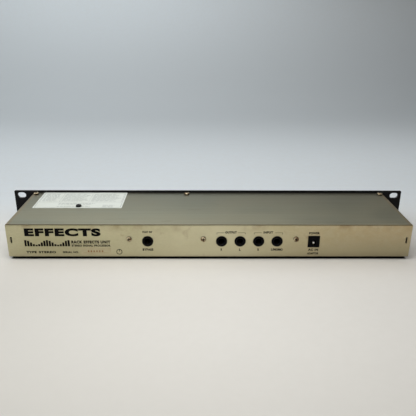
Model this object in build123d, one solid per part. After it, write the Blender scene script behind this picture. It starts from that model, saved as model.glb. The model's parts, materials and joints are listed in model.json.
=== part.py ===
"""One-unit 19-inch rack effects unit, modelled as separate pieces in one shared frame.

All sizes are in millimetres. The origin is the centre of the four rack slots, on the front
panel's rear (mounting) face. +X points right as seen from the front, +Y points to the rear
and +Z points up, so the knobs face -Y and the sockets face +Y.
"""

from build123d import *

import os

# Front panel: 19-inch rack, one unit high
PANEL_WIDTH = 482.6
PANEL_HEIGHT = 43.7
PANEL_THICKNESS = 2.5
PANEL_CORNER = 1.5
PANEL_EDGE_ROUND = 0.4
RACK_SLOT_PITCH_X = 465.1
RACK_SLOT_PITCH_Z = 31.75
RACK_SLOT_LENGTH = 10.5
RACK_SLOT_WIDTH = 7.0

# Bent sheet-metal case behind the panel
SHEET = 1.0
BEND = 1.2  # radius of the sheet's middle line at a bend
CASE_WIDTH = 434.0
CASE_DEPTH = 101.5
CASE_BOTTOM = -18.75
CASE_TOP = 19.75
COVER_GAP = 0.3  # between the cover and the tray's free edges
LIP_DEPTH = 13.0  # the front flange's lip that the cover is screwed to
REAR_INNER = CASE_DEPTH - SHEET  # inner face of the rear wall
FLOOR_TOP = CASE_BOTTOM + SHEET
COVER_UNDERSIDE = CASE_TOP - SHEET

# Hook tabs of the cover, and the slots they enter in the rear wall
HOOK_X = 212.4
HOOK_SLOT_Z = 1.3
HOOK_SLOT_WIDTH = 1.8
HOOK_SLOT_HEIGHT = 7.5
HOOK_Z = (-1.6, 1.3)
HOOK_TIP_Y = 101.1
HOOK_STEP_Y = (95.5, 96.5)

# M3 screws, used throughout
SCREW_SHANK = 1.45
SCREW_TAPPED_HOLE = 1.5
SCREW_FREE_HOLE = 1.7
COVER_SCREW_X = (-212.0, 27.0, 212.0)
COVER_SCREW_Y = 7.0
COVER_SCREW_HEAD = (3.2, 2.2)  # radius, height
REAR_SCREW_X = (-92.9, 6.9, 86.6)
REAR_SCREW_Z = 2.6
REAR_SCREW_HEAD = (2.9, 1.9)
PANEL_SCREW_X = 207.0
PANEL_SCREW_Z = 13.0
PANEL_SCREW_HEAD = (3.0, 1.5)
BOARD_SCREW_HEAD = (2.75, 1.8)
COVER_SCREW_LENGTH = 5.0
LABEL_SCREW_LENGTH = 8.0
REAR_SCREW_LENGTH = 4.0
PANEL_SCREW_LENGTH = 7.0
BOARD_SCREW_LENGTH = 5.5
BRACKET_SCREW_LENGTH = 4.5
CROSS_REACH = 0.6  # a recess's arm from the screw's axis, as a share of the head's radius
CROSS_HALF_WIDTH = 0.18  # half an arm's width, likewise

# Paper label on the cover, and the black screw and post under it
LABEL_X = (100.6, 202.9)
LABEL_Y = (2.0, 54.4)
LABEL_THICKNESS = 0.15
POST_X = 150.7
POST_Y = 49.0
POST_RADIUS = 4.0
LABEL_HOLE = 3.5

# Serial sticker on the rear wall
STICKER_X = (106.8, 138.6)
STICKER_Z = (-16.1, -7.6)
STICKER_THICKNESS = 0.12

# Rubber feet
FOOT_X = 185.0
FOOT_Y = (14.0, 82.0)
FOOT_RADIUS = 6.0
FOOT_HEIGHT = 3.3

# Main board, on standoffs above the tray floor
BOARD = 1.6
MAIN_BOARD_X = (-130.0, 206.0)
MAIN_BOARD_Y = (16.0, 98.5)
MAIN_BOARD_TOP = -9.0
STANDOFF_RADIUS = 2.75
MAIN_STANDOFFS = ((-124, 24), (-124, 86), (40, 24), (40, 60), (110, 90), (198, 90), (176, 24))
BRACKET_WIDTH = 10.0
BRACKET_SHEET = 1.2
BRACKET_FOOT_Y = 88.0
BRACKET_TOP = 7.0

# Quarter-inch jacks: name, place along the rear wall
JACKS = {
    "bypass_jack": 66.7,
    "output_jack_right": -12.7,
    "output_jack_left": -32.6,
    "input_jack_right": -52.6,
    "input_jack_left": -72.5,
}
JACK_BORE = 3.3
JACK_BUSHING = 6.0
JACK_PROUD = 0.8
JACK_MOUTH = 0.6
JACK_HALF_WIDTH = 7.5
JACK_BACK_Y = 70.5
JACK_TOP = 7.5
JACK_CHAMBER_Y = (72.5, 92.0)
JACK_CHAMBER_HALF_WIDTH = 5.5
JACK_CHAMBER_FLOOR = -6.5
SLEEVE_CONTACT_Y = (93.0, 100.0)
SLEEVE_CONTACT_THICKNESS = 0.5
SLEEVE_CONTACT_HALF_WIDTH = 1.6

# Sprung contacts: a strip with a round root that turns in a socket
CONTACT_THICKNESS = 0.4
CONTACT_HALF_WIDTH = 2.0
CONTACT_ROOT = 0.5
CONTACT_CLEARANCE = 0.06
TIP_ROOT = (92.3, 5.2)  # Y, Z of the root's axis
TIP_PATH = ((92.3, 5.2), (83.0, 4.6), (77.5, 1.4), (74.4, 4.0))

# Power inlet
INLET_X = -112.15
INLET_WIDTH = 12.5
INLET_Z = (-6.8, 6.3)
INLET_Y = (86.0, 102.2)
INLET_RIM = 1.3
INLET_RECESS = 0.6
INLET_BORE = 3.0
INLET_BORE_END = 91.0
INLET_AXIS_Z = -1.9
INLET_PIN = 1.05
INLET_PIN_TIP = 101.4
INLET_PIN_STUB = 0.8  # the thinner end held in the housing
INLET_STUB_END = 88.0
INLET_CONTACT_HALF_WIDTH = 0.9
INLET_ROOT = (92.0, -5.6)
INLET_PATH = ((92.0, -5.6), (94.5, -5.5), (96.5, -4.5), (98.5, -5.5))

# Controls on the front panel
FLANGE_REAR = SHEET  # rear face of the tray's front flange
FRONT_BOARD_X = (-203.0, 185.0)
FRONT_BOARD_Z = (-15.0, 15.0)
FRONT_BOARD_Y = 12.0  # front face
FRONT_STANDOFFS = (-178.0, -99.0, -30.0, 110.0, 168.0)
SHAFT_RADIUS = 2.95
SHAFT_BORE = 3.0
SHAFT_REAR = 10.2
SHAFT_FRONT = -12.5
BUSHING_RADIUS = 3.5
BUSHING_HOLE = 3.8
BUSHING_FRONT = -0.8
POT_RADIUS = 8.0
POT_FRONT = 4.5
KNOBS = {
    "input_level": -192.0,
    "edit_one": -8.0,
    "edit_two": 26.0,
    "mix": 60.0,
    "output_level": 94.0,
}
KNOB_RADIUS = 7.0
KNOB_DEPTH = 12.5
KNOB_SKIRT_RADIUS = 8.2
KNOB_SKIRT_DEPTH = 2.0
KNOB_FLUTES = 20
KNOB_GAP = 0.7  # between the knob and the panel
DIAL_X = -52.0
DIAL_RADIUS = 14.0
DIAL_DEPTH = 14.0
DIAL_FLUTES = 48
DIAL_DIMPLE_OFFSET = 8.0
DIAL_DIMPLE_RADIUS = 6.0
DIAL_DIMPLE_DEPTH = 1.6
ENCODER_SIZE = 12.4
BUTTONS = {
    "bank_button": (-88.0, 7.0),
    "store_button": (-88.0, -7.0),
    "tap_button": (124.0, -4.0),
    "bypass_button": (150.0, -4.0),
}
BUTTON_SIZE = (10.6, 5.6)
BUTTON_HOLE_GAP = 0.2
BUTTON_FRONT = -4.3
BUTTON_COLLAR = 1.0
BUTTON_COLLAR_Y = (1.3, 2.3)
BUTTON_STEM = 1.6
BUTTON_STEM_END = 9.3
TACT_SIZE = 6.0
TACT_FRONT = 8.5
TACT_HOLE = 1.8
TACT_HOLE_END = 10.4
POWER_X = 195.0
POWER_SIZE = 9.0
POWER_FRONT = -7.5
POWER_STEM = 4.0
POWER_STEM_END = 12.0
POWER_STEM_GAP = 0.2
POWER_BODY_X = 6.0
POWER_BODY_Y = (8.0, 32.0)
POWER_BODY_TOP = 6.0
POWER_SOCKET_END = 17.0
DISPLAY_X = (-152.0, -108.0)
DISPLAY_Z = (-8.0, 8.0)
DISPLAY_RIM = 2.0
DISPLAY_GAP = 0.1
DISPLAY_MODULE_Y = 1.5
LED_SPOTS = ((-170, 9), (-170, 1), (-170, -7), (124, 7), (150, 7), (178, 0))
LED_RADIUS = 1.5
LED_HOLE = 1.6
LED_FRONT = -3.4
LED_FLANGE_Y = (1.2, 2.2)

# Ribbon cable between the boards, and its headers as (x, y, z) spans
HEADER_X = (-17.0, 17.0)
FRONT_HEADER = (HEADER_X, (FRONT_BOARD_Y + BOARD, 22.0), (-6.0, 0.0))
MAIN_HEADER = (HEADER_X, (37.0, 43.0), (MAIN_BOARD_TOP, -3.0))
CABLE_WIDTH = 25.4
CABLE_THICKNESS = 0.9
CABLE_TURN_Y = 27.0
CABLE_HIGH = 2.0

# Parts on the main board
LEAD_PITCH = 2.54
CHIPS = (  # x, y, width, depth, height
    (-30, 46, 24, 20, 3.6),  # signal processor
    (-70, 40, 20, 8, 3.2),  # memory
    (75, 40, 20, 8, 3.2),
    (75, 58, 16, 8, 3.2),  # converter
    (-72.5, 63, 10, 6, 3.0),  # op-amps
    (-50, 63, 10, 6, 3.0),
    (-20, 63, 10, 6, 3.0),
    (5, 63, 10, 6, 3.0),
)
CAPACITORS = (  # x, y, radius, height
    (-100, 60, 5, 16),
    (-100, 74, 5, 16),
    (-84, 60, 4, 12),
    (125, 74, 4, 12),
    (125, 62, 3, 10),
)
SINK_X = (-126.0, -112.0)
SINK_Y = (40.0, 41.5)
SINK_TOP = 10.0
SINK_FINS = 5
SINK_FIN_DEPTH = 8.0
REGULATOR_HALF_WIDTH = 5.0
REGULATOR_TAB = 1.3
REGULATOR_DEPTH = 4.5  # tab and body together
REGULATOR_Z = (-4.0, 4.0)
REGULATOR_TAB_TOP = 9.0

ALL = 300.0  # longer than any side: for cuts that run right through


def block(x_span, y_span, z_span):
    """Box between two corners, given as (low, high) on each axis."""
    spans = (x_span, y_span, z_span)
    centre = [(low + high) / 2 for low, high in spans]
    size = [high - low for low, high in spans]
    return Pos(*centre) * Box(*size)


def around(middle, half):
    """The span that reaches half to each side of middle."""
    return (middle - half, middle + half)


def bar_y(x, z, y_span, radius, end_radius=None):
    """Round bar along Y; a second radius, at the rear end, makes it a cone."""
    low, high = y_span
    if end_radius is None:
        form = Cylinder(radius, high - low)
    else:
        form = Cone(radius, end_radius, high - low)
    return Pos(x, (low + high) / 2, z) * Rot(-90, 0, 0) * form


def bar_z(x, y, z_span, radius):
    """Round bar along Z."""
    low, high = z_span
    return Pos(x, y, (low + high) / 2) * Cylinder(radius, high - low)


def group(pieces):
    """One node that holds several separate solids."""
    return Compound([solid for piece in pieces for solid in piece.solids()])


def bent_sheet(plane, corners, width, thickness=SHEET, bend=BEND):
    """Sheet of even thickness along a line of corners, rounded at each bend."""
    strip = trace(FilletPolyline(*corners, radius=bend), thickness)
    return extrude(plane * strip, width / 2, both=True)


def slot_y(x, z, length, width, y_span):
    """Slot with round ends that runs through along Y; its length lies along X."""
    low, high = y_span
    outline = Plane.XZ * SlotOverall(length, width)
    return Pos(x, high, z) * extrude(outline, high - low)


def cross_recess(head_radius, depth):
    """Cutter for a screw's cross, with its open side on the XY plane."""
    reach = around(0, head_radius * CROSS_REACH)
    narrow = around(0, head_radius * CROSS_HALF_WIDTH)
    across = block(reach, narrow, (-depth, depth))
    along = block(narrow, reach, (-depth, depth))
    return across + along


def pan_screw(head, shank_length):
    """Cross-recess screw with a domed head above the XY plane and its shank below."""
    radius, height = head
    top = Pos(0, 0, height / 2) * Cylinder(radius, height)
    top = fillet(top.edges().sort_by(Axis.Z)[-1], height * 0.6)
    shank = bar_z(0, 0, (-shank_length, 0), SCREW_SHANK)
    return top + shank - Pos(0, 0, height) * cross_recess(radius, height * 0.6)


def flat_screw(head, shank_length):
    """Countersunk cross-recess screw whose head ends at the XY plane."""
    radius, height = head
    cone = Pos(0, 0, -height / 2) * Cone(SCREW_SHANK, radius, height)
    shank = bar_z(0, 0, (-shank_length, -height), SCREW_SHANK)
    return cone + shank - cross_recess(radius, height * 0.5)


FACING_REAR = Rot(-90, 0, 0)
FACING_FRONT = Rot(90, 0, 0)


def front_cutouts(clearance, y_span):
    """Everything that passes through the panel and the tray's front flange."""
    cuts = [bar_y(x, 0, y_span, BUSHING_HOLE) for x in (*KNOBS.values(), DIAL_X)]
    half_width, half_height = (size / 2 + clearance for size in BUTTON_SIZE)
    for x, z in BUTTONS.values():
        cuts.append(block(around(x, half_width), y_span, around(z, half_height)))
    power_half = POWER_SIZE / 2 + clearance
    cuts.append(block(around(POWER_X, power_half), y_span, around(0, power_half)))
    cuts += [bar_y(x, z, y_span, LED_HOLE) for x, z in LED_SPOTS]
    return cuts


def corners(x, z):
    """The four places at plus and minus x and z."""
    return [(i * x, j * z) for i in (-1, 1) for j in (-1, 1)]


def front_panel():
    """Rack panel with ears, oblong rack slots and the holes for the controls."""
    outline = Plane.XZ * RectangleRounded(PANEL_WIDTH, PANEL_HEIGHT, PANEL_CORNER)
    panel = extrude(outline, PANEL_THICKNESS)
    panel = fillet(panel.faces().sort_by(Axis.Y)[0].outer_wire().edges(), PANEL_EDGE_ROUND)
    through = (-PANEL_THICKNESS - 1, 1)
    cuts = front_cutouts(BUTTON_HOLE_GAP, through)
    for x, z in corners(RACK_SLOT_PITCH_X / 2, RACK_SLOT_PITCH_Z / 2):
        cuts.append(slot_y(x, z, RACK_SLOT_LENGTH, RACK_SLOT_WIDTH, through))
    cuts.append(block(DISPLAY_X, through, DISPLAY_Z))
    radius, height = PANEL_SCREW_HEAD
    seat = (-PANEL_THICKNESS, -PANEL_THICKNESS + height)
    for x, z in corners(PANEL_SCREW_X, PANEL_SCREW_Z):
        cuts.append(bar_y(x, z, seat, radius + 0.05, SCREW_FREE_HOLE))
        cuts.append(bar_y(x, z, through, SCREW_FREE_HOLE))
    return panel - cuts


def panel_screws():
    """Four countersunk screws that hold the panel to the tray."""
    screw = flat_screw(PANEL_SCREW_HEAD, PANEL_SCREW_LENGTH)
    spots = corners(PANEL_SCREW_X, PANEL_SCREW_Z)
    return group([Pos(x, -PANEL_THICKNESS, z) * FACING_FRONT * screw for x, z in spots])


def chassis_tray():
    """Bottom, front flange with its lip, and rear wall, bent from one sheet."""
    half = SHEET / 2
    lip_z = COVER_UNDERSIDE - half
    floor_z = CASE_BOTTOM + half
    rear_y = CASE_DEPTH - half
    profile = ((LIP_DEPTH, lip_z), (half, lip_z), (half, floor_z), (rear_y, floor_z))
    rear_top = COVER_UNDERSIDE - COVER_GAP
    tray = bent_sheet(Plane.YZ, (*profile, (rear_y, rear_top)), CASE_WIDTH)

    # The floor, flange and lip are narrower, so that the cover's sides and bends clear them
    inside = CASE_WIDTH / 2 - half - BEND - 0.1
    sides = ((-ALL, -inside), (inside, ALL))
    cuts = [block(side, (-1, REAR_INNER - 0.1), (-ALL, ALL)) for side in sides]

    rear = (REAR_INNER - 1, CASE_DEPTH + 1)
    cuts += [bar_y(x, 0, rear, JACK_BUSHING + 0.1) for x in JACKS.values()]
    cuts += [bar_y(x, REAR_SCREW_Z, rear, SCREW_FREE_HOLE) for x in REAR_SCREW_X]
    inlet_z = (INLET_Z[0] - 0.1, INLET_Z[1] + 0.1)
    cuts.append(block(around(INLET_X, INLET_WIDTH / 2 + 0.1), rear, inlet_z))
    for side in (-1, 1):
        upright = Rot(0, 90, 0) * slot_y(0, 0, HOOK_SLOT_HEIGHT, HOOK_SLOT_WIDTH, rear)
        cuts.append(Pos(side * HOOK_X, 0, HOOK_SLOT_Z) * upright)

    flange = (-1, FLANGE_REAR + 0.5)
    cuts += front_cutouts(BUTTON_HOLE_GAP, flange)
    rim = DISPLAY_RIM + 0.3
    window_x = (DISPLAY_X[0] - rim, DISPLAY_X[1] + rim)
    window_z = (DISPLAY_Z[0] - rim, DISPLAY_Z[1] + rim)
    cuts.append(block(window_x, flange, window_z))
    spots = corners(PANEL_SCREW_X, PANEL_SCREW_Z)
    cuts += [bar_y(x, z, flange, SCREW_TAPPED_HOLE) for x, z in spots]
    lip = (COVER_UNDERSIDE - 2, COVER_UNDERSIDE + 1)
    cuts += [bar_z(x, COVER_SCREW_Y, lip, SCREW_TAPPED_HOLE) for x in COVER_SCREW_X]
    return tray - cuts


def top_cover():
    """Top and two sides bent from one sheet, with a hook tab at the rear of each side."""
    half = SHEET / 2
    side_x = CASE_WIDTH / 2 - half
    top_z = CASE_TOP - half
    profile = ((-side_x, CASE_BOTTOM), (-side_x, top_z), (side_x, top_z), (side_x, CASE_BOTTOM))
    length = CASE_DEPTH - 0.2 - COVER_GAP
    cover = Pos(0, COVER_GAP + length / 2, 0) * bent_sheet(Plane.XZ, profile, length)

    # The sides stop inside the rear wall; only the top reaches over it
    cover -= block((-ALL, ALL), (REAR_INNER - COVER_GAP, ALL), (-ALL, COVER_UNDERSIDE))
    for x in COVER_SCREW_X:
        cover -= bar_z(x, COVER_SCREW_Y, around(CASE_TOP, 3), SCREW_FREE_HOLE)
    cover -= bar_z(POST_X, POST_Y, around(CASE_TOP, 3), SCREW_FREE_HOLE)

    hook_x = around(HOOK_X, half)
    web = block((hook_x[0], side_x), HOOK_STEP_Y, HOOK_Z)
    tongue = block(hook_x, (HOOK_STEP_Y[0], HOOK_TIP_Y), HOOK_Z)
    hook = web + tongue
    return cover + hook + mirror(hook, Plane.YZ)


def cover_screws():
    """Three bright screws that hold the cover's front edge to the tray's lip."""
    screw = pan_screw(COVER_SCREW_HEAD, COVER_SCREW_LENGTH)
    return group([Pos(x, COVER_SCREW_Y, CASE_TOP) * screw for x in COVER_SCREW_X])


def cover_label():
    """Paper label stuck to the cover, with a hole for the screw."""
    label = block(LABEL_X, LABEL_Y, (CASE_TOP, CASE_TOP + LABEL_THICKNESS))
    return label - bar_z(POST_X, POST_Y, around(CASE_TOP, 3), LABEL_HOLE)


def cover_post():
    """Tapped post on the tray floor that holds up the middle of the cover."""
    post = bar_z(POST_X, POST_Y, (FLOOR_TOP, COVER_UNDERSIDE), POST_RADIUS)
    return post - bar_z(POST_X, POST_Y, (COVER_UNDERSIDE - 9, ALL), SCREW_TAPPED_HOLE)


def label_screw():
    """Black screw through the label into the post."""
    return Pos(POST_X, POST_Y, CASE_TOP) * pan_screw(COVER_SCREW_HEAD, LABEL_SCREW_LENGTH)


def serial_sticker():
    """Thin sticker on the rear wall."""
    return block(STICKER_X, (CASE_DEPTH, CASE_DEPTH + STICKER_THICKNESS), STICKER_Z)


def rear_screws():
    """Three screws that hold the board's brackets to the rear wall."""
    screw = FACING_REAR * pan_screw(REAR_SCREW_HEAD, REAR_SCREW_LENGTH)
    return group([Pos(x, CASE_DEPTH, REAR_SCREW_Z) * screw for x in REAR_SCREW_X])


def board_brackets():
    """Small angle brackets between the main board and the rear wall."""
    half = BRACKET_SHEET / 2
    foot_z = MAIN_BOARD_TOP + half
    wall_y = REAR_INNER - half
    profile = ((BRACKET_FOOT_Y, foot_z), (wall_y, foot_z), (wall_y, BRACKET_TOP))
    angle = bent_sheet(Plane.YZ, profile, BRACKET_WIDTH, BRACKET_SHEET)
    angle -= bar_y(0, REAR_SCREW_Z, (wall_y - 2, wall_y + 2), SCREW_TAPPED_HOLE)
    angle -= bar_z(0, bracket_screw_y(), around(foot_z, 2), SCREW_FREE_HOLE)
    return group([Pos(x, 0, 0) * angle for x in REAR_SCREW_X])


def bracket_screw_y():
    """Where the bracket's foot is screwed to the main board."""
    return BRACKET_FOOT_Y + 4.5


def rubber_feet():
    """Four low stick-on feet with a rounded lower edge."""
    foot = Cylinder(FOOT_RADIUS, FOOT_HEIGHT)
    foot = fillet(foot.edges().sort_by(Axis.Z)[0], 0.8)
    z = CASE_BOTTOM - FOOT_HEIGHT / 2
    return group([Pos(side * FOOT_X, y, z) * foot for side in (-1, 1) for y in FOOT_Y])


def main_board():
    """Main circuit board, with its screw holes and a hole for the cover's post."""
    board = block(MAIN_BOARD_X, MAIN_BOARD_Y, (MAIN_BOARD_TOP - BOARD, MAIN_BOARD_TOP))
    through = around(MAIN_BOARD_TOP, 3)
    holes = [bar_z(x, y, through, SCREW_FREE_HOLE) for x, y in MAIN_STANDOFFS]
    holes += [bar_z(x, bracket_screw_y(), through, SCREW_TAPPED_HOLE) for x in REAR_SCREW_X]
    holes.append(bar_z(POST_X, POST_Y, through, POST_RADIUS + 0.5))
    return board - holes


def board_standoffs():
    """Tapped spacers: upright under the main board, and level behind the front flange."""
    upright = bar_z(0, 0, (FLOOR_TOP, MAIN_BOARD_TOP - BOARD), STANDOFF_RADIUS)
    upright -= bar_z(0, 0, (FLOOR_TOP + 1, MAIN_BOARD_TOP), SCREW_TAPPED_HOLE)
    level = bar_y(0, 0, (FLANGE_REAR, FRONT_BOARD_Y), STANDOFF_RADIUS)
    level -= bar_y(0, 0, (FLANGE_REAR + 1, FRONT_BOARD_Y + 1), SCREW_TAPPED_HOLE)
    spacers = [Pos(x, y, 0) * upright for x, y in MAIN_STANDOFFS]
    spacers += [Pos(x, 0, 0) * level for x in FRONT_STANDOFFS]
    return group(spacers)


def board_screws():
    """Screws into the standoffs and through the brackets' feet."""
    main_screw = pan_screw(BOARD_SCREW_HEAD, BOARD_SCREW_LENGTH)
    screws = [Pos(x, y, MAIN_BOARD_TOP) * main_screw for x, y in MAIN_STANDOFFS]
    foot_top = MAIN_BOARD_TOP + BRACKET_SHEET
    foot_screw = pan_screw(BOARD_SCREW_HEAD, BRACKET_SCREW_LENGTH)
    screws += [Pos(x, bracket_screw_y(), foot_top) * foot_screw for x in REAR_SCREW_X]
    behind = FRONT_BOARD_Y + BOARD
    screws += [Pos(x, behind, 0) * FACING_REAR * main_screw for x in FRONT_STANDOFFS]
    return group(screws)


def contact_strip(path, half_width):
    """Spring strip bent along a path in the YZ plane, with a round root at its first corner."""
    strip = bent_sheet(Plane.YZ, path, 2 * half_width, CONTACT_THICKNESS, 0.6)
    y, z = path[0]
    return strip + Pos(0, y, z) * Rot(0, 90, 0) * Cylinder(CONTACT_ROOT, 2 * half_width)


def contact_socket(root, half_width):
    """Cutter for the socket that a contact's round root turns in."""
    y, z = root
    width = 2 * (half_width + CONTACT_CLEARANCE)
    return Pos(0, y, z) * Rot(0, 90, 0) * Cylinder(CONTACT_ROOT + CONTACT_CLEARANCE, width)


def sleeve_sector(gap):
    """Part of a ring at the bottom of a jack's bore; gap makes it larger, as a cutter."""
    outer = JACK_BORE + SLEEVE_CONTACT_THICKNESS + gap
    span = (SLEEVE_CONTACT_Y[0] - gap, SLEEVE_CONTACT_Y[1] + gap)
    ring = bar_y(0, 0, span, outer) - bar_y(0, 0, span, JACK_BORE)
    return ring & block(around(0, SLEEVE_CONTACT_HALF_WIDTH + gap), span, (-ALL, 0))


def jack_housing():
    """Plastic jack at x = 0: bushing through the rear wall, bore, and an open contact chamber."""
    body = block(around(0, JACK_HALF_WIDTH), (JACK_BACK_Y, REAR_INNER), (MAIN_BOARD_TOP, JACK_TOP))
    face_y = CASE_DEPTH + JACK_PROUD
    bushing = bar_y(0, 0, (REAR_INNER - 1, face_y), JACK_BUSHING)
    bushing = fillet(bushing.edges().sort_by(Axis.Y)[-1], 0.4)
    chamber_x = around(0, JACK_CHAMBER_HALF_WIDTH)
    chamber = block(chamber_x, JACK_CHAMBER_Y, (JACK_CHAMBER_FLOOR, JACK_TOP + 1))
    bore = bar_y(0, 0, (JACK_CHAMBER_Y[1] - 1, face_y + 1), JACK_BORE)
    mouth = bar_y(0, 0, (face_y - JACK_MOUTH, face_y), JACK_BORE, JACK_BORE + JACK_MOUTH)
    socket = contact_socket(TIP_ROOT, CONTACT_HALF_WIDTH)
    return body + bushing - [chamber, bore, mouth, socket, sleeve_sector(0.05)]


def power_inlet():
    """Square inlet for a barrel plug: rim, shallow recess and bore."""
    face_y = INLET_Y[1]
    half = INLET_WIDTH / 2
    body = block(around(0, half), INLET_Y, INLET_Z)
    recess_z = (INLET_Z[0] + INLET_RIM, INLET_Z[1] - INLET_RIM)
    recess = block(around(0, half - INLET_RIM), (face_y - INLET_RECESS, face_y + 1), recess_z)
    bore = bar_y(0, INLET_AXIS_Z, (INLET_BORE_END, face_y), INLET_BORE)
    pin_seat = bar_y(0, INLET_AXIS_Z, (INLET_STUB_END, INLET_BORE_END), INLET_PIN_STUB)
    channel_x = around(0, INLET_CONTACT_HALF_WIDTH + 0.3)
    channel_y = (INLET_ROOT[0] + 0.4, INLET_PATH[-1][0] + 1.0)
    channel = block(channel_x, channel_y, (INLET_ROOT[1] - 0.9, INLET_AXIS_Z - 2))
    socket = contact_socket(INLET_ROOT, INLET_CONTACT_HALF_WIDTH)
    legs = block(around(0, half), (INLET_Y[0], REAR_INNER - 1.5), (MAIN_BOARD_TOP, INLET_Z[0]))
    return Pos(INLET_X, 0, 0) * (body + legs - [recess, bore, pin_seat, channel, socket])


def power_inlet_pin():
    """Centre pin of the inlet, with a round tip."""
    pin = bar_y(INLET_X, INLET_AXIS_Z, (INLET_BORE_END, INLET_PIN_TIP), INLET_PIN)
    pin = fillet(pin.edges().sort_by(Axis.Y)[-1], INLET_PIN * 0.6)
    return pin + bar_y(INLET_X, INLET_AXIS_Z, (INLET_STUB_END, INLET_BORE_END), INLET_PIN_STUB)


def front_board():
    """Board behind the front flange that carries the controls."""
    behind = FRONT_BOARD_Y + BOARD
    board = block(FRONT_BOARD_X, (FRONT_BOARD_Y, behind), FRONT_BOARD_Z)
    through = (FRONT_BOARD_Y - 1, behind + 1)
    return board - [bar_y(x, 0, through, SCREW_FREE_HOLE) for x in FRONT_STANDOFFS]


def rotary_body(form):
    """Add a bushing to a pot's or encoder's body at x = 0, and bore it for the shaft."""
    bushing = bar_y(0, 0, (BUSHING_FRONT, POT_FRONT), BUSHING_RADIUS)
    return form + bushing - bar_y(0, 0, (BUSHING_FRONT - 1, SHAFT_REAR + 0.3), SHAFT_BORE)


def pot_bodies():
    """Five potentiometer bodies, flat on top, on the front board."""
    can = bar_y(0, 0, (POT_FRONT, FRONT_BOARD_Y), POT_RADIUS)
    can -= block(around(0, POT_RADIUS), (0, FRONT_BOARD_Y + 1), (POT_RADIUS - 1, POT_RADIUS + 1))
    pot = rotary_body(can)
    return group([Pos(x, 0, 0) * pot for x in KNOBS.values()])


def encoder_body():
    """Square rotary encoder body behind the program dial."""
    half = ENCODER_SIZE / 2
    form = block(around(0, half), (POT_FRONT, FRONT_BOARD_Y), around(0, half))
    return Pos(DIAL_X, 0, 0) * rotary_body(form)


def shaft(x):
    """Metal shaft, with a flat where the knob grips it."""
    bar = bar_y(x, 0, (SHAFT_FRONT, SHAFT_REAR), SHAFT_RADIUS)
    flat = block(around(x, SHAFT_RADIUS), (SHAFT_FRONT, SHAFT_FRONT + 7), (SHAFT_RADIUS - 1, ALL))
    return bar - flat


def knob(radius, depth, flutes, flute_radius):
    """Fluted knob along +Z, its back on the XY plane, bored for the shaft."""
    grip = Pos(0, 0, depth / 2) * Cylinder(radius, depth)
    grip = fillet(grip.edges().sort_by(Axis.Z)[-1], 0.9)
    ring = PolarLocations(radius + flute_radius * 0.4, flutes)
    cutter = bar_z(0, 0, (KNOB_SKIRT_DEPTH + 1, depth + 1), flute_radius)
    return grip - [place * cutter for place in ring]


def shaft_hole():
    """Cutter for the shaft in a knob that stands on the XY plane."""
    depth = -PANEL_THICKNESS - KNOB_GAP - SHAFT_FRONT
    return bar_z(0, 0, (0, depth), SHAFT_BORE)


def placed_knob(form, x):
    """Put a knob that was made along +Z in front of the panel."""
    return Pos(x, -PANEL_THICKNESS - KNOB_GAP, 0) * FACING_FRONT * form


def small_knob():
    """Knob with a skirt and a pointer groove that points up at rest."""
    form = knob(KNOB_RADIUS, KNOB_DEPTH, KNOB_FLUTES, 0.6)
    skirt = Pos(0, 0, KNOB_SKIRT_DEPTH / 2) * Cylinder(KNOB_SKIRT_RADIUS, KNOB_SKIRT_DEPTH)
    form += fillet(skirt.edges().sort_by(Axis.Z)[-1], 0.6)
    groove = block((-0.5, 0.5), (1.5, KNOB_RADIUS + 1), (KNOB_DEPTH - 0.6, KNOB_DEPTH + 1))
    return form - [shaft_hole(), groove]


def program_dial():
    """Large dial with a finger dimple in its face."""
    form = knob(DIAL_RADIUS, DIAL_DEPTH, DIAL_FLUTES, 0.5)
    deep = DIAL_DIMPLE_RADIUS**2 / (2 * DIAL_DIMPLE_DEPTH) + DIAL_DIMPLE_DEPTH / 2
    dimple = Pos(0, DIAL_DIMPLE_OFFSET - 0.6, DIAL_DEPTH + deep - DIAL_DIMPLE_DEPTH) * Sphere(deep)
    form -= [shaft_hole(), dimple]
    return placed_knob(form, DIAL_X)


def button(x, z):
    """Push button: cap through the panel, collar behind the flange, stem into its switch."""
    width, height = BUTTON_SIZE
    cap = block(around(x, width / 2), (BUTTON_FRONT, BUTTON_COLLAR_Y[0]), around(z, height / 2))
    cap = fillet(cap.faces().sort_by(Axis.Y)[0].edges(), 0.5)
    collar_x = around(x, width / 2 + BUTTON_COLLAR)
    collar_z = around(z, height / 2 + BUTTON_COLLAR)
    collar = block(collar_x, BUTTON_COLLAR_Y, collar_z)
    stem = bar_y(x, z, (BUTTON_COLLAR_Y[1], BUTTON_STEM_END), BUTTON_STEM)
    return cap + collar + stem


def tact_switches():
    """Four tact switches on the front board, each open for a button's stem."""
    switches = []
    for x, z in BUTTONS.values():
        half = TACT_SIZE / 2
        body = block(around(x, half), (TACT_FRONT, FRONT_BOARD_Y), around(z, half))
        switches.append(body - bar_y(x, z, (TACT_FRONT - 1, TACT_HOLE_END), TACT_HOLE))
    return group(switches)


def power_button():
    """Square power button with a collar and a square stem."""
    half = POWER_SIZE / 2
    cap = block(around(POWER_X, half), (POWER_FRONT, BUTTON_COLLAR_Y[0]), around(0, half))
    cap = fillet(cap.faces().sort_by(Axis.Y)[0].edges(), 0.6)
    wide = half + BUTTON_COLLAR
    collar = block(around(POWER_X, wide), BUTTON_COLLAR_Y, around(0, wide))
    stem_half = POWER_STEM / 2
    stem_y = (BUTTON_COLLAR_Y[1], POWER_STEM_END)
    return cap + collar + block(around(POWER_X, stem_half), stem_y, around(0, stem_half))


def power_switch_body():
    """Push switch on the main board, with a square socket for the button's stem."""
    body = block(around(POWER_X, POWER_BODY_X), POWER_BODY_Y, (MAIN_BOARD_TOP, POWER_BODY_TOP))
    half = POWER_STEM / 2 + POWER_STEM_GAP
    return body - block(around(POWER_X, half), (0, POWER_SOCKET_END), around(0, half))


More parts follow.
